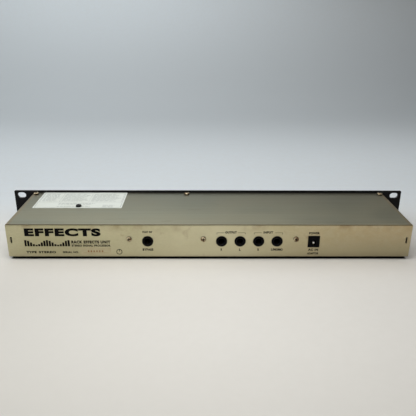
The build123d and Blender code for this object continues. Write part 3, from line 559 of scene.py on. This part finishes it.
def ribbon_jacket():
    """Grey ribbon cable jacket, ribbed across its width, with painted shade darkening the grooves between
    the ribs.
    """
    make = Nodes("ribbon_jacket")
    ribs = make.math("SINE", make.math("MULTIPLY", make.axes.outputs["X"], 2 * math.pi / (1.27 * MM)))
    # Painted shade: the grooves between the ribs are coloured darker.
    colour = make.blend(make.ramp(ribs, -0.9, 0.2), srgb(120, 120, 122), srgb(168, 168, 170))
    make.bump(ribs, 0.2 * MM)
    return make.surface(base_color=colour, roughness=0.6)


def ink(name, colour, faded):
    """Screen-printed ink, slightly uneven."""
    make = Nodes(name)
    wear = make.noise(900, 4)
    mixed = make.blend(make.ramp(wear, 0.5, 0.8), colour, faded)
    rough = make.ramp(wear, 0.3, 0.7, 0.4, 0.55)
    return make.surface(base_color=mixed, roughness=rough, specular_ior_level=0.08)


def make_materials():
    """Every material, by the record's slot name, and a few for the pieces made here."""
    black = srgb(5, 5, 7), srgb(9, 9, 11)
    knob = srgb(24, 24, 26), srgb(33, 33, 35)
    button = srgb(112, 114, 118), srgb(126, 128, 131)
    chip = srgb(28, 28, 29), srgb(38, 38, 39)
    plate = srgb(205, 204, 200), srgb(160, 156, 148)
    brass = srgb(214, 190, 128), srgb(150, 120, 66)
    return {
        "panel_paint": panel_paint(),
        "tray_steel": tray_steel(),
        "cover_steel": cover_steel(),
        "bright_screw": bright_screw(),
        "black_screw": black_screw(),
        "label_paper": label_paper(),
        "sticker": sticker_paper(),
        "black_plastic": moulded_plastic("black_plastic", *black, 0.4, 0.06),
        "knob_plastic": moulded_plastic("knob_plastic", *knob, 0.5),
        "button_plastic": moulded_plastic("button_plastic", *button, 0.48),
        "rubber": rubber(),
        "plain_metal": plated_metal("plain_metal", *plate, 0.3),
        "contact_brass": plated_metal("contact_brass", *brass, 0.28),
        "circuit_board": circuit_board(),
        "chip_plastic": moulded_plastic("chip_plastic", *chip, 0.55),
        "smoked_lens": smoked_lens(),
        "display_face": display_face(),
        "lamp_red": lamp_resin(),
        "ribbon_grey": ribbon_jacket(),
        "inlet_pin": inlet_pin(),
        "black_ink": ink("black_ink", srgb(4, 4, 5), srgb(18, 16, 14)),
        "brown_ink": ink("brown_ink", srgb(150, 108, 70), srgb(176, 142, 104)),
        "white_ink": ink("white_ink", srgb(206, 206, 202), srgb(160, 160, 156)),
        "grey_ink": ink("grey_ink", srgb(176, 182, 178), srgb(190, 196, 192)),
        "segment": unlit_segment(),
    }


MATERIALS = make_materials()
OWN_MATERIALS = {"power_inlet_pin": "inlet_pin"}  # nodes that differ from the rest of their slot


def dress_frame():
    """Give each CAD node the material of its slot."""
    for part in frame["record"]["subparts"]:
        mesh = frame["nodes"][part["node"]].data
        material = MATERIALS[OWN_MATERIALS.get(part["node"], part["material_slot"])]
        if not mesh.materials:
            mesh.materials.append(material)
        for index in range(len(mesh.materials)):
            mesh.materials[index] = material


# ---------------------------------------------------------------- print on flat faces


def face_placement(across, up, origin):
    """Matrix that lays a flat print out on a face: across is the reader's right, up the reader's up."""
    across, up = Vector(across), Vector(up)
    normal = across.cross(up)
    matrix = Matrix((across, up, normal)).transposed().to_4x4()
    matrix.translation = origin
    return matrix


REAR = face_placement((-1, 0, 0), (0, 0, 1), (0, TRAY_HIGH[1], 0))
STICKER = face_placement((-1, 0, 0), (0, 0, 1), (0, STICKER_HIGH[1], 0))
FRONT = face_placement((1, 0, 0), (0, 0, 1), (0, PANEL_LOW[1], 0))
LABEL = face_placement((-1, 0, 0), (0, -1, 0), (0, 0, LABEL_HIGH[2]))


def lettering(text, spacing, growth):
    """Mesh of some words in the built-in font, with their strokes grown outwards."""
    curve = bpy.data.curves.new("lettering", "FONT")
    curve.body = text
    curve.size = 1.0
    curve.offset = growth
    curve.space_character = spacing
    curve.extrude = 0.5
    curve.resolution_u = 6
    source = bpy.data.objects.new("lettering", curve)
    bpy.context.scene.collection.objects.link(source)
    graph = bpy.context.evaluated_depsgraph_get()
    mesh = bpy.data.meshes.new_from_object(source.evaluated_get(graph), depsgraph=graph)
    bpy.data.objects.remove(source)
    bpy.data.curves.remove(curve)
    return mesh


def stretch(mesh, goal):
    """Stretch a mesh so that its box becomes goal: a (start, end) for each axis."""
    for i, (start, end) in enumerate(goal):
        places = [vertex.co[i] for vertex in mesh.vertices]
        low, high = min(places), max(places)
        for vertex in mesh.vertices:
            share = (vertex.co[i] - low) / (high - low)
            vertex.co[i] = start + share * (end - start)


def make_piece(name, mesh, material):
    """Object of an editable mesh, which is used up."""
    data = bpy.data.meshes.new(name)
    mesh.to_mesh(data)
    mesh.free()
    data.materials.append(material)
    piece = bpy.data.objects.new(name, data)
    bpy.context.scene.collection.objects.link(piece)
    return piece


class Print:
    """Ink shapes gathered on one face, then made into one thin piece. Sizes are millimetres."""

    def __init__(self, name, placement, material, flip=False):
        self.name = name
        self.placement = placement
        self.material = MATERIALS[material]
        self.sign = -1 if flip else 1  # flip: a reader at the rear has +X on the left
        self.mesh = bmesh.new()

    def across(self, x):
        """Frame x, in millimetres, to the print's own axis."""
        return self.sign * x

    def bar(self, x0, x1, low, high):
        """Filled rectangle."""
        left, right = sorted((self.across(x0), self.across(x1)))
        size = (right - left, high - low, INK_THICKNESS)
        centre = ((left + right) / 2, (low + high) / 2, size[2] / 2)
        fitted = Matrix.Translation(centre) @ Matrix.Diagonal((*size, 1))
        bmesh.ops.create_cube(self.mesh, size=1, matrix=fitted)

    def band(self, inner, outer):
        """Closed band between two outlines that have the same number of (across, up) points."""
        rims = []
        for outline in (inner, outer):
            for z in (0, INK_THICKNESS):
                rims.append([self.mesh.verts.new((u, v, z)) for u, v in outline])
        inner_low, inner_top, outer_low, outer_top = rims
        for i in range(len(inner)):
            j = (i + 1) % len(inner)
            self.mesh.faces.new((inner_top[i], outer_top[i], outer_top[j], inner_top[j]))
            self.mesh.faces.new((inner_low[j], outer_low[j], outer_low[i], inner_low[i]))
            self.mesh.faces.new((outer_low[i], outer_low[j], outer_top[j], outer_top[i]))
            self.mesh.faces.new((inner_low[j], inner_low[i], inner_top[i], inner_top[j]))

    def ring(self, x, v, radius, line, steps=48):
        """Line along a circle; radius is to its outside."""
        centre = self.across(x)
        turns = [2 * math.pi * i / steps for i in range(steps)]
        circles = []
        for r in (radius - line, radius):
            circles.append([(centre + r * math.cos(turn), v + r * math.sin(turn)) for turn in turns])
        self.band(*circles)

    def frame(self, x0, x1, low, high, line):
        """Line along a rectangle, inside its edges."""
        left, right = sorted((self.across(x0), self.across(x1)))
        outlines = []
        for inset in (line, 0):
            u0, u1 = left + inset, right - inset
            v0, v1 = low + inset, high - inset
            outlines.append([(u0, v0), (u1, v0), (u1, v1), (u0, v1)])
        self.band(*outlines)

    def prism(self, outline):
        """Thin closed slab over an outline of (across, up) points."""
        below = [self.mesh.verts.new((u, v, 0)) for u, v in outline]
        above = [self.mesh.verts.new((u, v, INK_THICKNESS)) for u, v in outline]
        self.mesh.faces.new(above)
        self.mesh.faces.new(below[::-1])
        for i in range(len(outline)):
            j = (i + 1) % len(outline)
            self.mesh.faces.new((below[i], below[j], above[j], above[i]))

    def words(self, text, x0, x1, low, high, weight=0.0):
        """Lettering stretched to fill a box; weight thickens the strokes and widens the gaps to suit.

        The font's M tears when its outline is grown, so words that hold one are drawn COPIES times
        instead, in small steps to the side, each a little higher so that no two faces coincide.
        """
        repeated = "M" in text and weight > 0
        letters = lettering(text, 1.0 + SPREAD_PER_WEIGHT * weight, 0.0 if repeated else weight)
        left, right = sorted((self.across(x0), self.across(x1)))
        stretch(letters, ((left, right), (low, high), (0, INK_THICKNESS)))
        self.mesh.from_mesh(letters)
        sideways = 2 * weight * (high - low) / CAPITAL_HEIGHT / (COPIES - 1)
        step = Matrix.Translation((sideways, 0, INK_THICKNESS / 4))
        for _ in range(COPIES - 1 if repeated else 0):
            letters.transform(step)
            self.mesh.from_mesh(letters)
        bpy.data.meshes.remove(letters)

    def caption(self, text, x, low, height, width_share=0.62, **style):
        """Lettering of a given height centred on x; each letter is width_share of the height wide."""
        half = len(text) * height * width_share / 2
        self.words(text, x - half, x + half, low, low + height, **style)

    def finish(self, body):
        """Make the piece and let it ride on a body."""
        bmesh.ops.remove_doubles(self.mesh, verts=self.mesh.verts, dist=WELD)
        bmesh.ops.transform(self.mesh, matrix=self.placement @ Matrix.Scale(MM, 4), verts=self.mesh.verts)
        piece = make_piece(self.name, self.mesh, self.material)
        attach(piece, body)
        return piece


def rear_print():
    """Black print on the rear wall: generic heading, socket names and brackets."""
    sheet = Print("rear_print", REAR, "black_ink", flip=True)
    for words, near, far, low, high, weight in REAR_LINES:
        sheet.words(words, REAR_LEFT - near, REAR_LEFT - far, low, high, weight=weight)
    level_bars(sheet)
    knob_mark(sheet)
    socket_names(sheet)
    inlet_names(sheet)
    sheet.finish("case")


def level_bars(sheet):
    """A row of upright bars of rising and falling height, as on a level meter."""
    near, far, low, high = LEVEL_BARS
    pitch = (near - far) / LEVEL_BAR_COUNT
    half_bar = pitch * 0.39
    bars_to_a_wave, usual_share, swing = 8, 0.62, 0.38
    for i in range(LEVEL_BAR_COUNT):
        share = usual_share + swing * math.cos(i * 2 * math.pi / bars_to_a_wave)
        x = REAR_LEFT - near + pitch * (i + 0.5)
        sheet.bar(x - half_bar, x + half_bar, low, low + (high - low) * share)


def knob_mark(sheet):
    """Small plain picture of a knob: a circle with a pointer."""
    x, v = REAR_LEFT - KNOB_MARK[0], KNOB_MARK[1]
    line, pointer_start = KNOB_MARK_LINE, 0.3
    sheet.ring(x, v, KNOB_MARK_RADIUS, line)
    sheet.bar(x - line / 2, x + line / 2, v + pointer_start, v + KNOB_MARK_RADIUS - line)


def bracket(sheet, x0, x1):
    """Line with short drops at its ends and a gap in the middle for a word."""
    line, drop = 0.35, 1.6
    v, gap = BRACKET_HEIGHT, BRACKET_GAP
    centre = (x0 + x1) / 2
    for end, inner in ((x0, centre + gap / 2), (x1, centre - gap / 2)):
        sheet.bar(end, inner, v, v + line)
        outward = math.copysign(line, end - centre)
        sheet.bar(end, end - outward, v - drop, v)


def socket_names(sheet):
    """Names above and below the jacks."""
    where = {node: middle(node)[0] / MM for node in JACK_NODES}
    sheet.caption("FOOT SW", where["bypass_jack"], *FOOT_SWITCH_NAME, weight=SOCKET_WEIGHT)
    for words, node, width_share in SOCKET_NAMES:
        sheet.caption(words, where[node], *BELOW_SOCKETS, width_share, weight=SOCKET_WEIGHT)
    for word in ("output", "input"):
        right, left = where[word + "_jack_right"], where[word + "_jack_left"]
        centre = (right + left) / 2
        sheet.caption(word.upper(), centre, *ABOVE_SOCKETS, PAIR_WIDTH_SHARE, weight=PAIR_WEIGHT)
        bracket(sheet, right + BRACKET_OVERHANG[0], left - BRACKET_OVERHANG[1])


def inlet_names(sheet):
    """Names above and below the power inlet."""
    x = middle("power_inlet")[0] / MM
    for words, low, height, width_share, weight in INLET_NAMES:
        sheet.caption(words, x, low, height, width_share, weight=weight)


def sticker_print():
    """Thin rule and a row of plain blocks in place of a number."""
    sheet = Print("sticker_print", STICKER, "brown_ink", flip=True)
    left, right = STICKER_HIGH[0] / MM, STICKER_LOW[0] / MM
    low = STICKER_LOW[2] / MM
    margin, rule = 2.0, (2.2, 2.4)
    count, first, pitch, block, foot, head = 6, 7.0, 3.0, 1.5, 3.4, 5.2
    sheet.bar(left - margin, right + margin, low + rule[0], low + rule[1])
    for i in range(count):
        x = left - first - pitch * i
        sheet.bar(x, x - block, low + foot, low + head)
    sheet.finish("case")


def label_print():
    """Faint grey table and lines of blocks in place of text on the cover's label."""
    sheet = Print("label_print", LABEL, "grey_ink", flip=True)
    draw = random.Random(5)
    edge_left, edge_right = LABEL_HIGH[0] / MM, LABEL_LOW[0] / MM
    edge_low, edge_top = -LABEL_HIGH[1] / MM, -LABEL_LOW[1] / MM
    rim, rim_line, margin, line = 1.6, 0.5, 3.0, 0.35
    row_drop, row_pitch, row_height, last_row = 3.0, 2.6, 1.1, 2.0
    note_height, corner_height = 1.3, 1.2
    sheet.frame(edge_left - rim, edge_right + rim, edge_low + rim, edge_top - rim, rim_line)
    left, right = edge_left - margin, edge_right + margin
    low, top = edge_low + margin, edge_top - margin
    table_low = low + 16.0
    for v in (top, table_low):
        sheet.bar(left, right, v - line, v)
    for share in (0.0, 0.24, 0.6, 1.0):
        x = left + (right - left) * share
        sheet.bar(x - line / 2, x + line / 2, table_low, top)
    for first, last in ((0.02, 0.22), (0.26, 0.58), (0.62, 0.98)):
        column = left + (right - left) * first, left + (right - left) * last
        v = top - row_drop
        while v > table_low + last_row:
            text_line(sheet, draw, *column, v, row_height)
            v -= row_pitch
    notes, corner = (left - 24.0, right + 30.0), (right + 20.0, right + 4.0)
    for v in (12.5, 9.6, 3.0):
        text_line(sheet, draw, *notes, low + v, note_height)
    for v in (6.6, 3.4, 0.6):
        text_line(sheet, draw, *corner, low + v, corner_height)
    sheet.finish("case")


def text_line(sheet, draw, x0, x1, v, height):
    """Row of blocks as wide as words, from x0 towards x1, ending raggedly."""
    shortest, longest, space, most_ragged = 1.5, 6.0, 1.0, 0.25
    x = x0
    end = x1 + draw.uniform(0, most_ragged) * (x0 - x1)
    while x > end:
        word = draw.uniform(shortest, longest)
        stop = max(x - word, end)
        sheet.bar(x, stop, v - height, v)
        x = stop - space


def front_print():
    """White names, scales and ticks on the front panel."""
    sheet = Print("front_print", FRONT, "white_ink")
    style = {"weight": FRONT_WEIGHT}
    for node, word in zip(KNOBS, ("INPUT", "EDIT 1", "EDIT 2", "MIX", "OUTPUT")):
        x = middle(node + "_knob")[0] / MM
        knob_scale(sheet, x, *KNOB_TICKS)
        sheet.caption(word, x, *KNOB_NAME, NARROW_WIDTH_SHARE, **style)
    dial_x = middle("program_dial")[0] / MM
    knob_scale(sheet, dial_x, *DIAL_TICKS)
    sheet.caption("PROGRAM", dial_x, *DIAL_NAME, FRONT_WIDTH_SHARE, **style)
    for node, word in zip(BUTTON_NODES, ("BANK", "STORE", "TAP", "BYPASS")):
        x, _, z = middle(node) / MM
        low = z - BUTTON_NAME_DROP
        sheet.caption(word, x, low, BUTTON_NAME_HEIGHT, FRONT_WIDTH_SHARE, **style)
    sheet.caption("POWER", middle("power_button")[0] / MM, *POWER_NAME, FRONT_WIDTH_SHARE, **style)
    lamp_names(sheet)
    display_print(sheet)
    sheet.finish("case")


def lamp_names(sheet):
    """Levels beside the level lamps."""
    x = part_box("indicator_leds")[0][0] / MM + LAMP_RADIUS + LAMP_NAME_SHIFT
    for word, v in LAMP_NAMES:
        low = v - LAMP_NAME_HEIGHT / 2
        sheet.caption(word, x, low, LAMP_NAME_HEIGHT, NARROW_WIDTH_SHARE, weight=LAMP_NAME_WEIGHT)


def display_print(sheet):
    """Heading over the display's window and a thin line round it."""
    left, right = LENS_LOW[0] / MM + HEADING_INSET, LENS_HIGH[0] / MM - HEADING_INSET
    sheet.words("STEREO EFFECTS", left, right, HEADING_LOW, HEADING_HIGH, weight=HEADING_WEIGHT)
    inset, line = 0.2, 0.4
    left, right = LENS_LOW[0] / MM + inset, LENS_HIGH[0] / MM - inset
    low, high = LENS_LOW[2] / MM + inset, LENS_HIGH[2] / MM - inset
    sheet.frame(left, right, low, high, line)


def knob_scale(sheet, x, radius, length, count):
    """Ticks round a knob over its whole turn, every fifth one longer."""
    half_line = 0.2
    for i in range(count):
        angle = math.radians(KNOB_SWEEP * (i / (count - 1) - 0.5))
        reach = radius + (length if i % 5 == 0 else length * 0.6)
        out_x, out_v = math.sin(angle), math.cos(angle)
        side_x, side_v = out_v * half_line, -out_x * half_line
        sheet.prism([
            (x + radius * out_x - side_x, radius * out_v - side_v),
            (x + radius * out_x + side_x, radius * out_v + side_v),
            (x + reach * out_x + side_x, reach * out_v + side_v),
            (x + reach * out_x - side_x, reach * out_v - side_v),
        ])


def knob_pointers():
    """White paint line in the groove across each knob's face."""
    half_line, inner, outer, groove_depth = 0.42, 1.7, 6.1, 0.6
    for name in KNOBS:
        low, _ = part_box(name + "_knob")
        x = middle(name + "_knob")[0] / MM
        face = face_placement((1, 0, 0), (0, 0, 1), (0, low[1] + groove_depth * MM, 0))
        sheet = Print(name + "_pointer", face, "white_ink")
        sheet.bar(x - half_line, x + half_line, inner, outer)
        sheet.finish(name + "_control")


def display_digits():
    """Two unlit seven-segment digits on the display's face."""
    face = face_placement((1, 0, 0), (0, 0, 1), (0, MODULE_LOW[1], 0))
    sheet = Print("display_digits", face, "segment")
    centre = middle("display_module")[0] / MM
    half_pitch, width, height, line = 7.0, 7.0, 11.0, 1.2
    for x in (centre - half_pitch, centre + half_pitch):
        seven_segments(sheet, x, width, height, line)
    sheet.finish("case")


def seven_segments(sheet, x, width, height, line):
    """One digit's seven bars, leaning a little, with its point."""
    lean, point_gap = 0.12, 1.6
    half_w, half_h = width / 2, height / 2
    gap = line * 0.6
    spans = []
    for v in (-half_h, 0.0, half_h):
        spans.append(((-half_w + gap, v - line / 2), (half_w - gap, v + line / 2)))
    for u in (-half_w, half_w):
        for low, high in ((-half_h + gap, -gap), (gap, half_h - gap)):
            spans.append(((u - line / 2, low), (u + line / 2, high)))
    point = half_w + point_gap
    spans.append(((point, -half_h - line / 2), (point + line, -half_h + line / 2)))
    for (u0, v0), (u1, v1) in spans:
        outline = ((u0, v0), (u1, v0), (u1, v1), (u0, v1))
        sheet.prism([(x + u + lean * v, v) for u, v in outline])


# ---------------------------------------------------------------- stage, light and camera


def stage_material():
    """Pale seamless paper: warm on the viewer's side of the unit, cool behind it."""
    make = Nodes("stage_paper")
    across, along, _ = make.axes.outputs
    behind = make.ramp(along, 0.08, -0.12)
    colour = make.blend(behind, srgb(226, 224, 219), srgb(222, 229, 234))
    fine = make.noise(120, 3)
    colour = make.blend(make.ramp(fine, 0.3, 0.7, 0.0, 0.1), colour, srgb(214, 212, 206))
    colour = backdrop_shade(make, colour)
    colour = near_shade(make, colour)
    colour = make.blend(under_case(make), colour, srgb(12, 12, 12))
    return make.surface(base_color=colour, roughness=0.85, alpha=fading_edges(make, across, along))


def backdrop_shade(make, colour):
    """Darker far floor and far upper side of the backdrop."""
    across, along, height = make.axes.outputs
    far_floor = make.math("MULTIPLY", make.ramp(along, -0.25, -0.7), make.ramp(height, 0.3, 0.0))
    colour = make.blend(far_floor, colour, srgb(198, 204, 208))
    far_side = make.math("MULTIPLY", make.ramp(across, 0.1, -1.0), make.ramp(height, 0.0, 0.5))
    return make.blend(make.math("MULTIPLY", far_side, 0.46), colour, srgb(120, 110, 92))


def near_shade(make, colour):
    """Darker floor close to the viewer and on the key light's side."""
    across, along, _ = make.axes.outputs
    near = make.ramp(along, 0.22, 0.5, 0.0, 0.5)
    colour = make.blend(near, colour, srgb(196, 193, 186))
    key_side = make.math("MULTIPLY", make.ramp(across, -0.08, 0.3), make.ramp(along, 0.08, 0.18))
    return make.blend(make.math("MULTIPLY", key_side, 0.6), colour, srgb(196, 194, 187))


def under_case(make):
    """Mask of the floor under the case, which little light reaches."""
    across, along, _ = make.axes.outputs
    behind_edge = make.ramp(along, TRAY_HIGH[1] - 2.0 * MM, TRAY_HIGH[1] - 3.5 * MM)
    between_sides = make.ramp(make.math("ABSOLUTE", across), TRAY_HIGH[0], TRAY_HIGH[0] - 2 * MM)
    before_panel = make.ramp(along, TRAY_LOW[1] - 2 * MM, TRAY_LOW[1])
    inside = make.math("MULTIPLY", between_sides, behind_edge)
    return make.math("MULTIPLY", inside, before_panel)


def fading_edges(make, across, along):
    """Opacity of the paper: far out to the sides and behind the viewer it fades into the surround.

    Only direct sight of it fades; light still bounces off the whole sheet.
    """
    sideways = make.ramp(make.math("ABSOLUTE", across), 0.95, 1.7)
    behind_viewer = make.ramp(along, 0.4, 1.1)
    faded = make.math("MAXIMUM", sideways, behind_viewer)
    seen = make.tree.nodes.new("ShaderNodeLightPath").outputs["Is Camera Ray"]
    return make.math("SUBTRACT", 1.0, make.math("MULTIPLY", faded, seen))


def stage():
    """Floor that sweeps up into a backdrop behind the unit."""
    half_width, front, bend_y, radius, top = 2.6, 2.2, -0.7, 0.55, 2.2
    profile = [(front, 0.0), (bend_y, 0.0)]
    steps = 24
    for i in range(1, steps + 1):
        angle = math.pi / 2 * i / steps
        profile.append((bend_y - radius * math.sin(angle), radius * (1 - math.cos(angle))))
    profile.append((bend_y - radius, top))
    mesh = bmesh.new()
    rows = []
    for y, z in profile:
        rows.append([mesh.verts.new((x, y, FLOOR_Z + z)) for x in (half_width, -half_width)])
    for near, far in zip(rows, rows[1:]):
        face = mesh.faces.new((near[0], near[1], far[1], far[0]))
        face.smooth = True
    bmesh.ops.recalc_face_normals(mesh, faces=mesh.faces)
    make_piece("stage_sweep", mesh, stage_material())


def area_light(name, place, aim, size, power, colour):
    """Soft square light at place, turned to aim."""
    data = bpy.data.lights.new(name, "AREA")
    data.size = size
    data.energy = power
    data.color = colour
    lamp = bpy.data.objects.new(name, data)
    lamp.location = place
    lamp.rotation_euler = (Vector(aim) - Vector(place)).to_track_quat("-Z", "Y").to_euler()
    bpy.context.scene.collection.objects.link(lamp)
    return lamp


def lighting():
    """Soft light low on the left of the view, with dimmer ones overhead and behind."""
    for light in LIGHTS:
        area_light(*light)
    surround()
    front_light()


def surround():
    """Dim pale surround that looks brighter where it is seen directly, past the edges of the stage."""
    world = bpy.data.worlds.new("surround")
    bpy.context.scene.world = world
    world.use_nodes = True
    tree = world.node_tree
    background = tree.nodes["Background"]
    background.inputs["Color"].default_value = SURROUND_COLOUR
    path = tree.nodes.new("ShaderNodeLightPath")
    strength = tree.nodes.new("ShaderNodeMapRange")
    strength.inputs["To Min"].default_value = SURROUND_GLOW
    strength.inputs["To Max"].default_value = SURROUND_SEEN
    tree.links.new(path.outputs["Is Camera Ray"], strength.inputs["Value"])
    tree.links.new(strength.outputs[0], background.inputs["Strength"])


def front_light():
    """Soft light that reaches only the front panel and what stands on it."""
    reached = bpy.data.collections.new("front_pieces")
    for piece in bpy.context.scene.objects:
        if piece.type == "MESH" and piece.name.startswith(FRONT_PREFIXES):
            reached.objects.link(piece)
    lamp = area_light(*FRONT_LIGHT)
    lamp.light_linking.receiver_collection = reached


def camera():
    """Camera behind the unit and above it, turned a hair clockwise."""
    yaw, pitch, roll = (math.radians(angle) for angle in (CAMERA_YAW, CAMERA_PITCH, CAMERA_ROLL))
    level = math.cos(pitch)
    forward = Vector((math.sin(yaw) * level, -math.cos(yaw) * level, -math.sin(pitch)))
    right = forward.cross(Vector((0, 0, 1))).normalized()
    up = right.cross(forward)
    across = math.cos(roll) * right + math.sin(roll) * up
    upward = math.cos(roll) * up - math.sin(roll) * right
    matrix = Matrix((across, upward, -forward)).transposed().to_4x4()
    matrix.translation = Vector(CAMERA_PLACE) * MM
    data = bpy.data.cameras.new("camera")
    data.sensor_width = CAMERA_SENSOR
    data.lens = CAMERA_LENS
    data.clip_start = 0.01
    viewer = bpy.data.objects.new("camera", data)
    viewer.matrix_world = matrix
    bpy.context.scene.collection.objects.link(viewer)
    bpy.context.scene.camera = viewer


dress_frame()
rear_print()
sticker_print()
label_print()
front_print()
knob_pointers()
display_digits()
stage()
lighting()
camera()
bpy.context.scene.view_settings.view_transform = "Standard"
